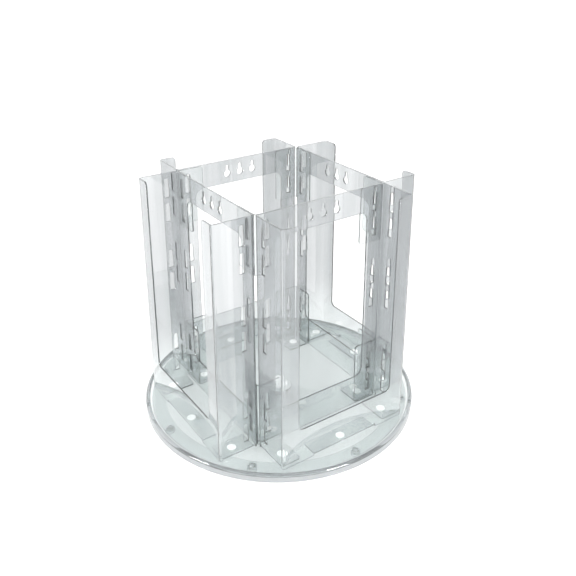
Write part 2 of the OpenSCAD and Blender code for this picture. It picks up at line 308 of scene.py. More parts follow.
def fold_sheet(name, outer, holes, place, material, thickness=sheet, folds=(), seam=None, profile_of=None):
    """Builds one closed sheet part. place(u, v, w) returns the point and the outward direction there."""
    loops = [outer if area_of(outer) > 0 else outer[::-1]]
    loops += [h if area_of(h) < 0 else h[::-1] for h in holes]
    edge = polished_edge(thickness)
    profile_of = profile_of or (lambda x, y: edge)
    cuts = []
    for loop in loops:
        reach = -profile_of(loop[0].x, loop[0].y)[0][0]
        moved = inset(loop, reach)
        if seam:
            for p, q in zip(loop, moved):
                if any(abs(p.x - s) < 1e-3 for s in seam):
                    q.x = p.x
        cuts.append(moved)
    points, edges = [], []
    for cut in cuts:
        first = len(points)
        points += cut
        edges += [(first + k, first + (k + 1) % len(cut)) for k in range(len(cut))]
    for a, b in folds:
        edges.append((len(points), len(points) + 1))
        points += [Vector(a), Vector(b)]
    flat, _, triangles, *_ = delaunay_2d_cdt(points, edges, [], 0, 1e-5)
    boxed = [(c, min(p.x for p in c), min(p.y for p in c), max(p.x for p in c), max(p.y for p in c)) for c in cuts]
    kept = []
    for t in triangles:
        x, y = sum(flat[i].x for i in t) / 3, sum(flat[i].y for i in t) / 3
        if inside(boxed, x, y):
            kept.append(t if area_of([flat[i] for i in t]) > 0 else t[::-1])
    sides = set()
    for t in kept:
        for a, b in zip(t, (t[1], t[2], t[0])):
            sides.remove((b, a)) if (b, a) in sides else sides.add((a, b))
    if seam:
        sides = {(a, b) for a, b in sides
                 if not any(abs(flat[a].x - s) < 1e-3 and abs(flat[b].x - s) < 1e-3 for s in seam)}
    outward = {}
    for a, b in sides:
        d = (flat[b] - flat[a]).normalized()
        for i in (a, b):
            outward.setdefault(i, []).append(Vector((d.y, -d.x)))
    vertices, normals, faces, index = [], [], [], {}

    def vertex(u, v, w, direction=None, out=0.0, through=1.0):
        point, normal = place(u, v, w)
        if direction is not None:
            ahead, _ = place(u + direction.x * 0.01, v + direction.y * 0.01, w)
            back, _ = place(u - direction.x * 0.01, v - direction.y * 0.01, w)
            normal = (ahead - back).normalized() * out + normal * through
        vertices.append(point * MM)
        normals.append(normal.normalized())
        return len(vertices) - 1

    used = sorted({i for t in kept for i in t})
    for i in used:
        rows = profile_of(flat[i].x, flat[i].y)
        if i not in outward:
            index[i] = (vertex(flat[i].x, flat[i].y, thickness / 2),
                        vertex(flat[i].x, flat[i].y, -thickness / 2, Vector((1, 0)), 0.0, -1.0))
            continue
        total = sum(outward[i], Vector((0, 0))).normalized()
        stretch = 1 / max(0.3, total.dot(outward[i][0]))
        line = []
        for o, w, no, nw in rows:
            shift = total * ((o - rows[0][0]) * stretch)
            line.append(vertex(flat[i].x + shift.x, flat[i].y + shift.y, w, total, no, nw))
        index[i] = tuple(line)
    for a, b, c in kept:
        faces.append((index[a][0], index[b][0], index[c][0]))
        faces.append((index[c][-1], index[b][-1], index[a][-1]))
    for a, b in sides:
        for p, q, r, s in zip(index[a], index[b], index[b][1:], index[a][1:]):
            faces.append((q, p, s, r))
    return mesh_piece(name, vertices, faces, normals, material)


def mesh_piece(name, vertices, faces, normals, material):
    """A finished object from points, faces and shading normals, with doubled points merged."""
    mesh = bpy.data.meshes.new(name)
    mesh.from_pydata(vertices, [], faces)
    merged, keep = {}, []
    for i, v in enumerate(vertices):
        keep.append(merged.setdefault((round(v.x, 7), round(v.y, 7), round(v.z, 7)), i))
    if len(merged) < len(vertices):
        kept_faces = []
        for f in faces:
            joined = [keep[i] for i in f]
            loop = [a for a, b in zip(joined, joined[1:] + joined[:1]) if a != b]
            if len(loop) > 2:
                kept_faces.append(loop)
        order = {old: new for new, old in enumerate(sorted(merged.values()))}
        mesh.clear_geometry()
        mesh.from_pydata([vertices[i] for i in order], [], [[order[i] for i in f] for f in kept_faces])
        normals = [normals[i] for i in order] if normals else None
    if sum(mesh.vertices[f.vertices[0]].co.dot(f.normal) * f.area for f in mesh.polygons) < 0:
        mesh.flip_normals()
    mesh.polygons.foreach_set("use_smooth", [True] * len(mesh.polygons))
    if normals:
        mesh.normals_split_custom_set_from_vertices(normals)
    mesh.materials.append(material)
    piece = bpy.data.objects.new(name, mesh)
    bpy.context.scene.collection.objects.link(piece)
    uses = {}
    for f in mesh.polygons:
        for pair in f.edge_keys:
            uses[pair] = uses.get(pair, 0) + 1
    print(name, len(mesh.polygons), "faces, open edges", sum(1 for n in uses.values() if n != 2))
    return piece


print("polished edge rows", len(polished_edge(sheet)))

# %% [markdown]
# A fold is a quarter turn of small radius between two flat walls. A path of straights and quarter turns
# says where each flat position ends up in plan, which is all that a pocket or a corner piece needs.

# %% Follow folds in plan
QUARTER = fold_radius * math.pi / 2


def plan_path(x, y, heading, parts):
    """Walks straights and right-hand quarter folds; returns a function u -> (x, y, outward angle)."""
    legs, u = [], 0.0
    for kind, length in parts:
        legs.append((u, kind, x, y, heading))
        if kind == "straight":
            x, y, u = x + length * math.cos(heading), y + length * math.sin(heading), u + length
        else:
            cx, cy = x + fold_radius * math.sin(heading), y - fold_radius * math.cos(heading)
            heading -= math.pi / 2
            x, y, u = cx - fold_radius * math.sin(heading), cy + fold_radius * math.cos(heading), u + QUARTER

    def at(u):
        leg = max((g for g in legs if g[0] <= u + 1e-9), default=legs[0], key=lambda g: g[0])
        start, kind, lx, ly, face = leg
        run = u - start
        if kind == "straight":
            return lx + run * math.cos(face), ly + run * math.sin(face), face + math.pi / 2
        cx, cy = lx + fold_radius * math.sin(face), ly - fold_radius * math.cos(face)
        out = face + math.pi / 2 - run / fold_radius
        return cx + fold_radius * math.cos(out), cy + fold_radius * math.sin(out), out

    return at, [g[0] for g in legs] + [u]


def folded(path, tabs, turn):
    """A place function: walls follow the path, tabs fold inward under them, all turned by turn."""
    spin = Matrix.Rotation(turn, 3, "Z")
    lift = fold_radius + sheet / 2

    def place(u, v, w):
        tab = next((t for t in tabs if t[0] <= u <= t[1] and v < lift and (v < -0.3 or t[2] <= u <= t[3])), None)
        x, y, out = path(u if tab is None else tab[4])
        normal = Vector((math.cos(out), math.sin(out), 0))
        if tab is not None:
            along = Vector((math.sin(out), -math.cos(out), 0)) * (u - tab[4])
            run = lift - v
            angle = min(run / fold_radius, math.pi / 2)
            past = max(0.0, run - QUARTER)
            facing = normal * math.cos(angle) + Vector((0, 0, -math.sin(angle)))
            centre = Vector((x, y, lift)) - normal * fold_radius + along
            point = centre + facing * (fold_radius + w) - normal * past
            normal = facing
        else:
            point = Vector((x, y, v)) + normal * w
        point = spin @ (point + Vector((0, core_half, tray_top)))
        return point, spin @ normal

    return place


def fold_lines(starts, low, high, steps=6):
    """Lines across the flat sheet wherever it folds round a corner."""
    lines = []
    for a, b in zip(starts, starts[1:]):
        if abs(b - a - QUARTER) < 1e-6:
            lines += [((a + (b - a) * k / steps, low), (a + (b - a) * k / steps, high)) for k in range(steps + 1)]
    return lines


print("a quarter fold uses", round(QUARTER, 3), "mm of sheet")

# %% [markdown]
# The pockets and the corner pieces share one tapered slot, flat and wide at its foot and round at its top,
# so that a tongue drops in and locks. The slots come in pairs at three heights, and the cut-outs of the
# parts that touch line up.

# %% Slots and keyholes
slot_shape = outline([(-3.5, -13.25, 0.6), (3.5, -13.25, 0.6), (2.7, 13.25, 2.5), (-2.7, 13.25, 2.5)])
pair_centres = (45.0, 176.0, 279.0)
slot_levels = [c + s * 17.25 for c in pair_centres for s in (-1, 1)]


def keyhole(x, y):
    """Round end at x, y and a narrow round-topped end that rises 10 mm from it."""
    lip = math.asin(2.2 / 5.0)
    points = [(x + 5 * math.sin(a), y + 5 * math.cos(a)) for a in
              [lip + (2 * math.pi - 2 * lip) * k / 30 for k in range(31)]]
    points += [(x - 2.2 * math.cos(a), y + 10 + 2.2 * math.sin(a)) for a in [math.pi * k / 12 for k in range(13)]]
    return [Vector(p) for p in points]


print("slot levels", slot_levels)

# %% [markdown]
# A pocket is taken to be one folded sheet: a back wall with a large window and three keyholes, two
# sides with slots, and two lips above a low bar in front. Tabs at the foot of the sides and the bar fold
# inward and take the rivets that hold the pocket to the tray. Short relief cuts beside each tab let the
# sheet fold without tearing. The seam is in the front bar, where nothing else is cut.

# %% Lay out a pocket
seam_x = 60.0
side_run = pocket_depth - 2 * (fold_radius + 1)
wall_run = pocket_width - 2 * (fold_radius + 1)
pocket_at, pocket_starts = plan_path(seam_x, pocket_depth - 1, 0.0, [
    ("straight", wall_run / 2 - seam_x), ("fold", 0), ("straight", side_run), ("fold", 0),
    ("straight", wall_run), ("fold", 0), ("straight", side_run), ("fold", 0), ("straight", wall_run / 2 + seam_x)])
around = pocket_starts[-1]
wall_middle = pocket_starts[4] + wall_run / 2
front_middle = around - seam_x
lip_right, lip_left = pocket_width / 2 - 24 - seam_x, around - (pocket_width / 2 - 24) - seam_x
bar_height = 47.5
fold_foot = fold_radius + sheet / 2
relief, notch = 1.5, fold_foot + 0.6


def tab_end(reach):
    """Flat height of a tab's end that reaches this far in from the outer face once it is folded."""
    return fold_foot - QUARTER - (reach - fold_foot)


def tab_corners(a, b, reach):
    """Down one side of a tab, across its end and up again, with a relief cut at each side."""
    return [(a - relief, 0, 0.6), (a - relief, notch, 0.7), (a, notch, 0.7), (a, tab_end(reach), 3.0),
            (b, tab_end(reach), 3.0), (b, notch, 0.7), (b + relief, notch, 0.7), (b + relief, 0, 0.6)]


side_a, side_b = pocket_starts[2], pocket_starts[6]
tab_spans = [(side_a + 2, side_a + side_run - 2, 30), (side_b + 2, side_b + side_run - 2, 30),
             (front_middle - 48.5, front_middle + 48.5, 25)]
pocket_outline = outline(
    [(0, 0, 0)] + [c for span in tab_spans for c in tab_corners(*span)]
    + [(around, 0, 0), (around, bar_height, 0), (lip_left, bar_height, 7), (lip_left, pocket_height, 5),
       (lip_right, pocket_height, 5), (lip_right, bar_height, 7), (0, bar_height, 0)])
print("pocket sheet", round(around, 2), "mm round, seam at", seam_x)

# %% Cut out a pocket
window = outline([(wall_middle - 70, 43.5, 12), (wall_middle + 70, 43.5, 12),
                  (wall_middle + 70, pocket_height - 34, 12), (wall_middle - 70, pocket_height - 34, 12)])
pocket_holes = [window] + [keyhole(wall_middle + k * 20.5, pocket_height - 19.5) for k in (-1, 0, 1)]
slot_places = [wall_middle - 82, wall_middle + 82, side_a + 34.5, side_b + 13.5]
pocket_holes += [shifted(slot_shape, u, v) for u in slot_places for v in slot_levels]
pocket_holes += [ring_points(side_a + 21, tab_end(16), 3.2, 32), ring_points(side_b + 27, tab_end(16), 3.2, 32),
                 ring_points(front_middle, tab_end(12), 3.2, 32)]


def tab_folds(a, b, steps=6):
    """Lines across a tab where it folds under."""
    levels = [fold_foot - QUARTER * k / steps for k in range(steps + 1)]
    return [((a - 0.5, v), (b + 0.5, v)) for v in levels]


def tab_frames(spans):
    """What `folded` needs to know of each tab: its reach along the sheet and where it hangs from."""
    return [(a - 0.7, b + 0.7, a - 0.7, b + 0.7, (a + b) / 2) for a, b, _ in spans]


pocket_folds = fold_lines(pocket_starts, -1, pocket_height + 1)
for a, b, _ in tab_spans:
    pocket_folds += tab_folds(a, b)
pocket_place = folded(pocket_at, tab_frames(tab_spans), 0.0)
pocket_back = fold_sheet("pocket_back_sheet", pocket_outline, pocket_holes, pocket_place, clear_sheet,
                         folds=pocket_folds, seam=(0.0, around))
print("holes in a pocket", len(pocket_holes))

# %% [markdown]
# The four pockets are alike, so one mesh is turned a quarter at a time about the middle. The turn goes into
# the mesh, and the object itself stays at the origin. Ripples in the plastic come from a pattern in space,
# so the four still differ.

# %% Turn the pocket to all four sides
def turned_copy(piece, name, quarters):
    mesh = piece.data.copy()
    mesh.name = name
    mesh.transform(Matrix.Rotation(quarters * math.pi / 2, 4, "Z"))
    copy = bpy.data.objects.new(name, mesh)
    bpy.context.scene.collection.objects.link(copy)
    return copy


def hand_over(piece, body, slot, *nodes):
    """The piece moves with a body and stands for CAD nodes, which are hidden; slot is not used."""
    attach(piece, body)
    if nodes:
        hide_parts(*nodes)
    return piece


sides = {"back": 0, "left": 1, "front": 2, "right": 3}
pockets = {"back": pocket_back}
for side in ("left", "front", "right"):
    pockets[side] = turned_copy(pocket_back, f"pocket_{side}_sheet", sides[side])
for side, piece in pockets.items():
    hand_over(piece, "turntable", "clear_sheet", f"pocket_{side}")
print("pockets", sorted(pockets))

# %% [markdown]
# Corner pieces join neighbouring pockets inside the core. An upper one is an angle with two slots in each
# arm. A lower one also has a foot, folded in from one arm and riveted to the tray. They lie against the
# pocket walls with a hair of air between, which is what makes two stacked sheets glint.

# %% Fold the corner pieces
hair = 0.12
arm = 37.0
corner_at, corner_starts = plan_path(core_half - arm - hair, -1 - hair, 0.0,
                                     [("straight", arm - fold_foot), ("fold", 0), ("straight", arm - fold_foot)])
corner_end = corner_starts[-1]
arm_slots = (22 + hair, corner_starts[2] + 11 - hair)
upper_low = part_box("upper_connector_1")[0].z / MM - tray_top
upper_height = (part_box("upper_connector_1")[1].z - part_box("upper_connector_1")[0].z) / MM
lower_height = (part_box("lower_connector_1")[1].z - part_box("lower_connector_1")[0].z) / MM


def corner_piece(name, height, rise, levels, foot):
    """One angle piece; with a foot, its outline carries a tab under the first arm."""
    low = [(0, 0, 4)]
    frames, folds = [], fold_lines(corner_starts, -1, height + 1)
    holes = [shifted(slot_shape, u, v) for u in arm_slots for v in levels]
    if foot:
        end = tab_end(35)
        low = [(0, notch, 1.0), (2.2, notch, 0.6), (2.2, end, 3), (34.5, end, 3), (34.5, -3, 1.5), (30, -3, 0.6),
               (30, notch, 0.7), (31.5, notch, 0.7), (31.5, 0, 0.6)]
        frames = [(1.5, 35.2, 1.5, 30.7, 16.0)]
        folds += tab_folds(2.0, 30.2)
        holes.append(ring_points(19 + hair, tab_end(18), 3.2, 32))
    shape = outline(low + [(corner_end, 0, 4), (corner_end, height, 4), (0, height, 4)])
    place = folded(corner_at, frames, 0.0)
    lifted = lambda u, v, w: (lambda p, n: (p + Vector((0, 0, rise)), n))(*place(u, v, w))
    return fold_sheet(name, shape, holes, lifted, clear_corner, folds=folds)


upper_1 = corner_piece("upper_corner_1", upper_height, upper_low, [279 - upper_low + s * 17.25 for s in (-1, 1)], False)
lower_1 = corner_piece("lower_corner_1", lower_height, 0.0, [45 + s * 17.25 for s in (-1, 1)], True)
for first, kind in ((upper_1, "upper"), (lower_1, "lower")):
    for i in range(1, 5):
        piece = first if i == 1 else turned_copy(first, f"{kind}_corner_{i}", i - 1)
        hand_over(piece, "turntable", "clear_sheet", f"{kind}_connector_{i}")
print("corner pieces", upper_height, lower_height)

# %% [markdown]
# The tray is a moulded disc with a rolled rim: a bead stands proud of the plate, and a skirt hangs down
# over the base. Its plate is flat, so the same sheet builder cuts it, and the rim and the hub are simply
# longer edge profiles than a polished cut.

# %% Mould the tray
def profile_rows(points):
    """Edge rows from (outward, through) points, each with the direction that is square to the profile."""
    rows = []
    for i, (o, w) in enumerate(points):
        before, after = points[max(i - 1, 0)], points[min(i + 1, len(points) - 1)]
        d = Vector((after[0] - before[0], after[1] - before[1])).normalized()
        rows.append((o, w, -d.y, d.x))
    return rows


def arc(x, y, r, first, last, steps):
    return [(x + r * math.cos(math.radians(first + (last - first) * k / steps)),
             y + r * math.sin(math.radians(first + (last - first) * k / steps))) for k in range(steps + 1)]


plate_top, plate_under = tray_top - hair, tray_top - 2.5
plate_mid, plate_thick = (plate_top + plate_under) / 2, plate_top - plate_under
rim_r, hub_r, bead_z = 183.2, 17.6, 9.5
rim = [(183.2, plate_top), (183.9, plate_top)] + arc(184.0, plate_top + 1.0, 1.0, -88, -40, 4)
rim += arc(tray_radius - 3, bead_z, 3, 142, 0, 14) + [(tray_radius, 2.0)]
rim += arc(tray_radius - 0.9, 1.9, 0.9, 0, -90, 4) + arc(tray_radius - 2.1, 1.9, 0.9, -90, -180, 4)
rim += [(tray_radius - 3, 6.9)] + arc(tray_radius - 4.6, 6.9, 1.6, 0, 90, 5) + [(183.2, plate_under)]
hub = [(17.6, plate_top), (7.6, plate_top)] + [(7.0 + 0.4 * (1 - math.sin(a)), plate_top - 0.4 * (1 - math.cos(a)))
                                               for a in (0.4, 0.9, 1.57)]
hub += [(7.0, 7.5), (7.12, 7.17), (7.4, 7.05), (16.6, 7.05), (16.9, 7.17), (17.0, 7.5), (17.0, 8.2),
        (17.15, 8.42), (17.6, plate_under)]
rim_rows = profile_rows([(r - rim_r, z - plate_mid) for r, z in rim])
hub_rows = profile_rows([(hub_r - r, z - plate_mid) for r, z in hub])
plate_rows = polished_edge(plate_thick)


def tray_edge(x, y):
    r = math.hypot(x, y)
    return rim_rows if r > 181 else hub_rows if r < 19 else plate_rows


def level(z):
    """A place function for a flat part that lies level at height z."""
    return lambda u, v, w: (Vector((u, v, z + w)), Vector((0, 0, 1)))


def around_middle(places):
    """Repeats (x, y) places on all four sides."""
    return [Matrix.Rotation(k * math.pi / 2, 2) @ Vector(p) for k in range(4) for p in places]


glide_r = 174.0
glide_places = [(glide_r * math.cos(k * math.pi / 4), glide_r * math.sin(k * math.pi / 4)) for k in range(8)]
pocket_rivets = [(81.0, core_half + 31), (0.0, core_half + 44), (-81.0, core_half + 31)]
core_rivets = [(79.0, 79.0)]
tray_holes = [ring_points(0, 0, hub_r, 72)] + [ring_points(x, y, 3.0, 32) for x, y in glide_places]
tray_holes += [ring_points(x, y, 3.2, 32) for x, y in around_middle(pocket_rivets + core_rivets)]
tray = fold_sheet("tray_moulding", ring_points(0, 0, rim_r, 288), tray_holes, level(plate_mid), clear_base,
                  thickness=plate_thick, profile_of=tray_edge)
hand_over(tray, "turntable", "clear_base", "turntable_tray")
print("tray holes", len(tray_holes))

# %% [markdown]
# Under the tray lie a flat base disc, which stands on its feet, and a thin ring that the glides run on. The
# ring's inner edge shows through the tray as a fine circle. The rest can't be seen on the real holder, so
# the disc, the feet and the ring's width are a guess at what a turning tray needs.

# %% Cut the base disc and the track ring
base_low, base_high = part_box("base_disc")
ring_low, ring_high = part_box("track_ring")
base_thick = (base_high.z - base_low.z) / MM - 0.1
base_edge = polished_edge(base_thick)
track_edge = polished_edge(1.3, 0.3)
base = fold_sheet("base_plate", ring_points(0, 0, base_high.x / MM, 240), [ring_points(0, 0, 4.1, 40)],
                  level((base_low.z + base_high.z) / 2 / MM), clear_base, thickness=base_thick,
                  profile_of=lambda x, y: base_edge)
track = fold_sheet("track_band", ring_points(0, 0, ring_high.x / MM, 240),
                   [ring_points(0, 0, ring_high.x / MM - 18, 240)], level(ring_low.z / MM + 0.1 + 0.65),
                   clear_base, thickness=1.3, profile_of=lambda x, y: track_edge)
hand_over(base, "base", "clear_base", "base_disc")
hand_over(track, "base", "clear_base", "track_ring")
print("base plate", base_thick, "mm thick")

# %% [markdown]
# Rivets, glides, feet and the pivot parts are all turned or moulded about an axis. One function turns a
# profile, and the profile may change with the angle: that gives a hexagon, a thread, or the slits between
# a rivet's legs from the same few lines.

# %% Turn a part about its axis
def turn_part(name, profile, material, angles=48, loop=True):
    """Turns profile(angle), a list of (radius, height), about Z. A loop has a bore; else it ends on the axis."""
    if isinstance(angles, int):
        angles = [2 * math.pi * k / angles for k in range(angles)]
    rows = [profile(a) for a in angles]
    n = len(rows[0])
    vertices = [Vector((r * math.cos(a), r * math.sin(a), z)) * MM for a, row in zip(angles, rows) for r, z in row]
    faces = []
    for k in range(len(angles)):
        for j in range(n if loop else n - 1):
            j2, k2 = (j + 1) % n, (k + 1) % len(angles)
            faces.append((k * n + j, k2 * n + j, k2 * n + j2, k * n + j2))
    return mesh_piece(name, vertices, faces, None, material)


def dome_profile(d, h, z, steps=8):
    """From the pole of a low dome of width d and height h, out and down to its rim at height z."""
    ball = (d * d / 4 + h * h) / (2 * h)
    reach = math.asin(d / 2 / ball)
    return [(ball * math.sin(reach * k / steps), z + h - ball + ball * math.cos(reach * k / steps))
            for k in range(steps + 1)]


print("dome of a rivet head", [tuple(round(c, 2) for c in p) for p in dome_profile(12, 2, 0)][:3])

# %% [markdown]
# What repeats is set out by Geometry Nodes. One tree stands a shape on a circle of points, with the count,
# the radius and the first angle as named inputs, and turns each copy to face outward. Instances don't
# survive an export, so the tree ends in Realize Instances and Set Material.

# %% Set a shape out round a circle
def circle_tree():
    tree = bpy.data.node_groups.new("set_out_round_a_circle", "GeometryNodeTree")
    tree.interface.new_socket("Shape", in_out="INPUT", socket_type="NodeSocketGeometry")
    tree.interface.new_socket("Count", in_out="INPUT", socket_type="NodeSocketInt")
    for name in ("Radius", "First Angle"):
        tree.interface.new_socket(name, in_out="INPUT", socket_type="NodeSocketFloat")
    tree.interface.new_socket("Material", in_out="INPUT", socket_type="NodeSocketMaterial")
    tree.interface.new_socket("Set Out", in_out="OUTPUT", socket_type="NodeSocketGeometry")
    add, link = tree.nodes.new, tree.links.new
    given, circle, onto = add("NodeGroupInput"), add("GeometryNodeMeshCircle"), add("GeometryNodeInstanceOnPoints")
    place, angle, turn = add("GeometryNodeInputIndex"), add("ShaderNodeMath"), add("ShaderNodeMath")
    facing = add("ShaderNodeCombineXYZ")
    swing, real, finish, out = (add("GeometryNodeTransform"), add("GeometryNodeRealizeInstances"),
                                add("GeometryNodeSetMaterial"), add("NodeGroupOutput"))
    start = add("ShaderNodeCombineXYZ")
    angle.operation, turn.operation = "DIVIDE", "MULTIPLY"
    link(given.outputs["Count"], circle.inputs["Vertices"])
    link(given.outputs["Radius"], circle.inputs["Radius"])
    link(place.outputs[0], angle.inputs[0])
    link(given.outputs["Count"], angle.inputs[1])
    link(angle.outputs[0], turn.inputs[0])
    turn.inputs[1].default_value = 2 * math.pi
    link(turn.outputs[0], facing.inputs["Z"])
    link(circle.outputs[0], onto.inputs["Points"])
    link(given.outputs["Shape"], onto.inputs["Instance"])
    link(facing.outputs[0], onto.inputs["Rotation"])
    link(given.outputs["First Angle"], start.inputs["Z"])
    link(start.outputs[0], swing.inputs["Rotation"])
    link(onto.outputs[0], swing.inputs["Geometry"])
    link(swing.outputs[0], real.inputs[0])
    link(real.outputs[0], finish.inputs["Geometry"])
    link(given.outputs["Material"], finish.inputs["Material"])
    link(finish.outputs[0], out.inputs[0])
    return tree


set_out_round = circle_tree()


def set_out(shape, name, tree, material, **values):
    """Runs a tree on the shape with its named inputs, and keeps the result as one plain mesh."""
    modifier = shape.modifiers.new("set out", "NODES")
    modifier.node_group = tree
    values["Material"] = material
    for item in tree.interface.items_tree:
        if item.item_type == "SOCKET" and item.in_out == "INPUT" and item.name in values:
            modifier[item.identifier] = values[item.name]
    seen = shape.evaluated_get(bpy.context.evaluated_depsgraph_get())
    mesh = bpy.data.meshes.new_from_object(seen)
    mesh.name = name
    shape.modifiers.remove(modifier)
    mesh.set_sharp_from_angle(angle=math.radians(40))
    made = bpy.data.objects.new(name, mesh)
    bpy.context.scene.collection.objects.link(made)
    print(name, "faces", len(mesh.polygons))
    return made


# %% [markdown]
# A glide is a clear button pressed through the tray: a low dome with a dimple on top, a shank, and a flat
# foot that slides on the track. Its foot rides just over the track. The feet of the base are small clear
# bumpers, flat below with a rounded shoulder.

# %% Glides and feet
dome = dome_profile(11, 1.6, tray_top - 0.04)
dimple, brim = [(0, dome[0][1] - 0.25), (0.9, dome[1][1] - 0.12)], [(5.45, tray_top + 0.12), (5.3, tray_top - 0.04)]
dome = dimple + dome[2:-1] + brim
glide_shape = turn_part("glide_shape", lambda a: dome + [
    (3.15, tray_top - 0.06), (2.85, tray_top - 0.4), (2.85, 8.45), (3.3, 8.4), (5.8, 8.4), (6.0, 8.25), (6.0, 7.25),
    (5.8, 7.06), (0, 7.06)], clear_button, loop=False)
foot_shape = turn_part("foot_shape", lambda a: [
    (0, 2.95), (6.2, 2.95), (6.5, 2.75), (6.5, 1.9), (6.3, 1.3), (5.8, 0.7), (5.1, 0.22), (4.5, 0.0), (3.0, 0.0),
    (2.4, 0.15), (0, 0.3)], clear_button, loop=False)
on_circle = {"Count": 8, "Radius": glide_r * MM, "First Angle": 0.0}
glides = set_out(glide_shape, "glide_buttons_moulded", set_out_round, clear_button, **on_circle)
feet = set_out(foot_shape, "base_feet_moulded", set_out_round, clear_button, **on_circle)
hand_over(glides, "turntable", "clear_button", "glide_buttons")
hand_over(feet, "base", "clear_button", "base_feet")

# %% [markdown]
# A push rivet has a domed head with a bore, and a shank slit into four legs. Pushing its pin home spreads
# the legs under the tray. The body and the pin are two shapes, set out on the same places.

# %% Push rivets and their pins
seat = tray_top + sheet + 0.05


def rivet_profile(a):
    """Head, shank and bore; in a slit the shank ends high, which leaves four legs."""
    legs = a % (math.pi / 2)
    slit = legs < 0.17 or legs > math.pi / 2 - 0.17
    low, top = 6.35, 9.4
    head = [(1.55, seat + 1.85), (2.2, seat + 1.88), (3.3, seat + 1.62), (4.5, seat + 1.1), (5.4, seat + 0.5),
            (5.9, seat + 0.16), (5.85, seat), (3.2, seat), (3.1, seat - 0.2)]
    leg = [(3.1, 8.45), (3.6, 8.0), (3.75, 7.6), (3.3, 6.8), (2.7, low), (2.1, low), (1.6, 6.8), (1.55, 8.4)]
    return head + [(r, max(z, top)) if slit else (r, z) for r, z in leg] + [(1.55, 10.0)]


leg_edges = [k * math.pi / 2 + s for k in range(4) for s in (-0.175, -0.165, 0.165, 0.175)]
rivet_angles = sorted({a % (2 * math.pi) for a in leg_edges} | {k * math.pi / 24 for k in range(48)})
rivet_shape = turn_part("rivet_shape", rivet_profile, nylon, angles=rivet_angles)
pin_shape = turn_part("pin_shape", lambda a: dome_profile(6, 0.95, seat + 2.0, 5)[:-1] + [
    (2.9, seat + 2.02), (2.7, seat + 1.93), (1.6, seat + 1.92), (1.45, seat + 1.7), (1.45, 7.0), (1.1, 6.35),
    (0, 6.35)], nylon, angles=32, loop=False)


def across_tree():
    """Three copies in a row, the middle one stepped out, then turned to one side of the holder."""
    tree = bpy.data.node_groups.new("set_out_across_a_pocket", "GeometryNodeTree")
    tree.interface.new_socket("Shape", in_out="INPUT", socket_type="NodeSocketGeometry")
    for name in ("Spacing", "Distance", "Middle Step", "Turn"):
        tree.interface.new_socket(name, in_out="INPUT", socket_type="NodeSocketFloat")
    tree.interface.new_socket("Material", in_out="INPUT", socket_type="NodeSocketMaterial")
    tree.interface.new_socket("Set Out", in_out="OUTPUT", socket_type="NodeSocketGeometry")
    add, link = tree.nodes.new, tree.links.new
    given, row, onto = add("NodeGroupInput"), add("GeometryNodeMeshLine"), add("GeometryNodeInstanceOnPoints")
    first, gap, step, turn = (add("ShaderNodeCombineXYZ") for _ in range(4))
    less, place, middle = add("ShaderNodeMath"), add("GeometryNodeInputIndex"), add("FunctionNodeCompare")
    nudge, swing = add("GeometryNodeSetPosition"), add("GeometryNodeTransform")
    real = add("GeometryNodeRealizeInstances")
    finish, out = add("GeometryNodeSetMaterial"), add("NodeGroupOutput")
    less.operation, less.inputs[1].default_value = "MULTIPLY", -1.0
    middle.data_type, middle.operation = "INT", "EQUAL"
    middle.inputs[3].default_value = 1
    row.inputs["Count"].default_value = 3
    link(given.outputs["Spacing"], less.inputs[0])
    link(less.outputs[0], first.inputs["X"])
    link(given.outputs["Distance"], first.inputs["Y"])
    link(given.outputs["Spacing"], gap.inputs["X"])
    link(given.outputs["Middle Step"], step.inputs["Y"])
    link(given.outputs["Turn"], turn.inputs["Z"])
    link(first.outputs[0], row.inputs["Start Location"])
    link(gap.outputs[0], row.inputs["Offset"])
    link(place.outputs[0], middle.inputs[2])
    link(row.outputs[0], nudge.inputs["Geometry"])
    link(middle.outputs[0], nudge.inputs["Selection"])
    link(step.outputs[0], nudge.inputs["Offset"])
    link(nudge.outputs[0], onto.inputs["Points"])
    link(given.outputs["Shape"], onto.inputs["Instance"])
    link(onto.outputs[0], swing.inputs["Geometry"])
    link(turn.outputs[0], swing.inputs["Rotation"])
    link(swing.outputs[0], real.inputs[0])
    link(real.outputs[0], finish.inputs["Geometry"])
    link(given.outputs["Material"], finish.inputs["Material"])
    link(finish.outputs[0], out.inputs[0])
    return tree


set_out_across = across_tree()
for side, quarters in sides.items():
    spread = {"Spacing": pocket_rivets[0][0] * MM, "Distance": pocket_rivets[0][1] * MM,
              "Middle Step": (pocket_rivets[1][1] - pocket_rivets[0][1]) * MM, "Turn": quarters * math.pi / 2}
    for shape, made, node in ((rivet_shape, "rivets", "rivet_bodies"), (pin_shape, "pins", "rivet_pins")):
        hand_over(set_out(shape, f"{made}_{side}", set_out_across, nylon, **spread), "turntable", "natural_nylon",
                  f"{node}_{side}")
at_corners = {"Count": 4, "Radius": math.hypot(*core_rivets[0]) * MM, "First Angle": math.pi / 4}
hand_over(set_out(rivet_shape, "core_rivets", set_out_round, nylon, **at_corners), "turntable", "natural_nylon",
          "core_rivet_bodies")
hand_over(set_out(pin_shape, "core_pins", set_out_round, nylon, **at_corners), "turntable", "natural_nylon",
          "core_rivet_pins")

# %% [markdown]
# The real pivot can't be made out, so this one is a guess, in nylon as well: a bolt up through the base, a
# flanged bush in the tray's hub, a washer and a hexagon nut. The thread is one spiral groove, and the nut's corners are chamfered by a cone.

# %% Pivot hardware
bush_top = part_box("pivot_bush")[1].z / MM
bush_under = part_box("pivot_bush")[0].z / MM
nut_low, nut_high = (c.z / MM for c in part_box("pivot_nut"))
washer_low, washer_high = (c.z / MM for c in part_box("pivot_washer"))
thrust_low, thrust_high = (c.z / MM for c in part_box("thrust_washer"))
bolt_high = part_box("pivot_bolt")[1].z / MM


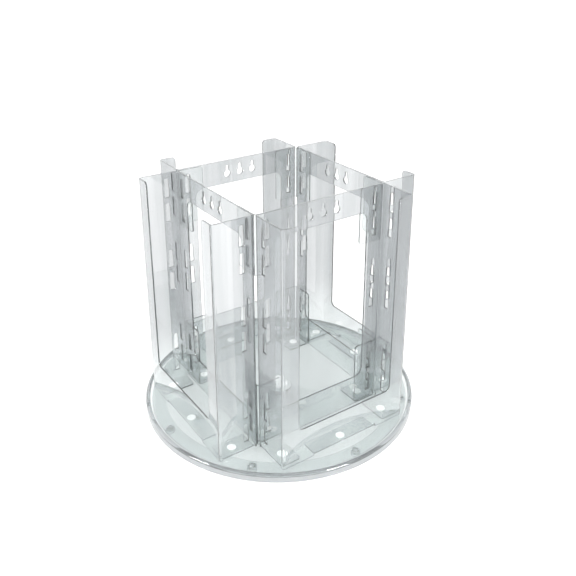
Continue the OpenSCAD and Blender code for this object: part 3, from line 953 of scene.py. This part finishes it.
def bolt_profile(a):
    """Head, shank and a threaded end whose groove climbs with the angle."""
    head = [(0, 1.25), (2.2, 1.25), (2.4, 1.0), (9.4, 1.0), (10.0, 1.4), (10.0, 2.6), (9.7, 2.95), (3.95, 2.95)]
    thread = []
    for k in range(57):
        z = nut_low + 0.1 + k * 0.125 - 0.5
        wave = abs(((z - a / math.tau * 1.25) / 1.25) % 1 - 0.5) * 2
        thread.append((3.98 - 0.7 * min(1.0, max(0.0, wave * 1.4 - 0.2)), z))
    return head + thread + [(3.3, bolt_high - 0.15), (2.9, bolt_high), (0, bolt_high)]


def nut_profile(a):
    flat = 6.5 / math.cos((a + math.pi / 6) % (math.pi / 3) - math.pi / 6)
    worn = lambda rise: min(flat, 6.45 + rise * 1.9)
    return [(4.05, nut_low + 0.3), (4.4, nut_low), (worn(0), nut_low), (worn(0.3), nut_low + 0.3),
            (flat, nut_low + 0.65), (flat, nut_high - 0.65), (worn(0.3), nut_high - 0.3), (worn(0), nut_high),
            (4.4, nut_high), (4.05, nut_high - 0.3)]


def ring_profile(inner, outer, low, high, soft):
    return [(inner, low + soft), (inner + soft, low), (outer - soft, low), (outer, low + soft), (outer, high - soft),
            (outer - soft, high), (inner + soft, high), (inner, high - soft)]


bolt = turn_part("pivot_bolt_moulded", bolt_profile, nylon, angles=64, loop=False)
nut = turn_part("pivot_nut_moulded", nut_profile, nylon, angles=96)
washer_ring = ring_profile(4.1, 10.0, washer_low + 0.02, washer_high - 0.02, 0.2)
thrust_ring = ring_profile(7.6, 17.0, thrust_low + 0.05, thrust_high - 0.02, 0.2)
washer = turn_part("pivot_washer_cut", lambda a: washer_ring, nylon)
thrust = turn_part("thrust_washer_cut", lambda a: thrust_ring, nylon)
bush = turn_part("pivot_bush_moulded", lambda a: [
    (4.08, bush_under + 0.3), (4.3, bush_under), (6.6, bush_under), (6.9, bush_under + 0.3), (6.9, tray_top - 0.05),
    (10.7, tray_top - 0.05), (11.0, tray_top + 0.2), (11.0, bush_top - 0.3), (10.7, bush_top - 0.02),
    (4.4, bush_top - 0.02), (4.08, bush_top - 0.3)], nylon)
for piece, body, node in ((bolt, "base", "pivot_bolt"), (nut, "base", "pivot_nut"), (washer, "base", "pivot_washer"),
                          (thrust, "base", "thrust_washer"), (bush, "turntable", "pivot_bush")):
    piece.data.set_sharp_from_angle(angle=math.radians(40))
    hand_over(piece, body, "natural_nylon", node)
for shape in (glide_shape, foot_shape, rivet_shape, pin_shape):
    bpy.data.objects.remove(shape)
print("pivot top", bolt_high, "mm")

# %% [markdown]
# Clear plastic shows only what surrounds it, so the light is built round the object. The sky is white, with
# a brighter band low down that the flat parts mirror. Grey gaps higher up, as between the panels of a
# light tent, draw dark lines in the edges and folds. The floor is plain and gives off light, like a light
# table, because an upright wall seen from above mirrors the floor. Two upright strips outside the view
# put light lines in the folds.

# %% Floor and light tent
floor_mesh = bpy.data.meshes.new("floor")
floor_ring = [Vector((12 * math.cos(a), 12 * math.sin(a), 0)) for a in [math.tau * k / 64 for k in range(64)]]
floor_mesh.from_pydata(floor_ring, [], [list(range(64))])
floor = bpy.data.objects.new("floor", floor_mesh)
bpy.context.scene.collection.objects.link(floor)
paper = bpy.data.materials.new("floor_paper")
paper.use_nodes = True
paper.node_tree.nodes.clear()
spot = add_node(paper.node_tree, "ShaderNodeTexCoord", out=3)
mottle = spot.node("ShaderNodeTexNoise", {}, Vector=spot, Scale=3.0, Detail=2.0)
paper_colour = spot.node("ShaderNodeMix", {"data_type": "RGBA"}, out=2, _0=mottle, _6=(0.16, 0.16, 0.16, 1),
                         _7=(0.18, 0.18, 0.18, 1))
paper_skin = spot.node("ShaderNodeBsdfPrincipled", {}, Base_Color=paper_colour, Roughness=0.8,
                       Specular_IOR_Level=0.1, Emission_Color=(1.0, 1.0, 1.0, 1), Emission_Strength=1.05)
paper_out = paper.node_tree.nodes.new("ShaderNodeOutputMaterial")
paper.node_tree.links.new(paper_skin.socket, paper_out.inputs["Surface"])
floor_mesh.materials.append(paper)

world = bpy.data.worlds.new("light_tent")
bpy.context.scene.world = world
world.use_nodes = True
tent = world.node_tree
tent.nodes.clear()
way = add_node(tent, "ShaderNodeTexCoord", out=0)
parts = tent.nodes.new("ShaderNodeSeparateXYZ")
tent.links.new(way.socket, parts.inputs[0])
height = Sock(tent, parts.outputs[2])
gap = height.above(0.55, 0.1) * (1 - height.above(0.8, 0.1))
band = height.above(0.15, 0.1) * (1 - height.above(0.45, 0.1))
lit = blend_tints(way, band, (1.15, 1.15, 1.15, 1), (1.9, 1.95, 1.95, 1))
tent_colour = blend_tints(way, gap, lit, (0.5, 0.52, 0.52, 1))
tent_light = way.node("ShaderNodeBackground", {}, Color=tent_colour, Strength=1.0)
tent_out = tent.nodes.new("ShaderNodeOutputWorld")
tent.links.new(tent_light.socket, tent_out.inputs["Surface"])


def soft_light(name, place, aim, wide, tall, watts):
    lamp = bpy.data.lights.new(name, "AREA")
    lamp.shape, lamp.size, lamp.size_y, lamp.energy = "RECTANGLE", wide, tall, watts
    holder = bpy.data.objects.new(name, lamp)
    holder.location = place
    holder.rotation_euler = (Vector(aim) - Vector(place)).to_track_quat("-Z", "Y").to_euler()
    bpy.context.scene.collection.objects.link(holder)


soft_light("top_light", (0.6, -0.3, 3.2), (0, 0, 0.1), 2.4, 2.4, 14)
soft_light("left_strip", (0.0, -0.95, 0.26), (0, 0, 0.2), 0.25, 0.45, 14)
soft_light("right_strip", (0.95, 0.10, 0.26), (0, 0, 0.2), 0.25, 0.45, 14)

# %% [markdown]
# The camera stands a little above the holder and off one corner of it, so that two pockets face it. A
# small lens shift holds the upright folds nearly parallel without tilting the camera far.

# %% Camera and render settings
eye = bpy.data.cameras.new("eye")
camera = bpy.data.objects.new("eye", eye)
camera.location = (0.7453, -0.4964, 0.6357)
camera.rotation_euler = Vector((-0.7720, 0.5340, -0.3446)).to_track_quat("-Z", "Y").to_euler()
eye.lens, eye.sensor_width, eye.shift_x, eye.shift_y = 45.4, 36.0, -0.0035, -0.167
eye.clip_start, eye.clip_end = 0.01, 50
bpy.context.scene.collection.objects.link(camera)
bpy.context.scene.camera = camera
scene = bpy.context.scene
scene.view_settings.view_transform = "Standard"
scene.cycles.max_bounces, scene.cycles.transmission_bounces = 64, 64
scene.cycles.transparent_max_bounces, scene.cycles.glossy_bounces = 64, 24
scene.cycles.use_denoising = True
print("camera", tuple(round(v, 3) for v in camera.location))
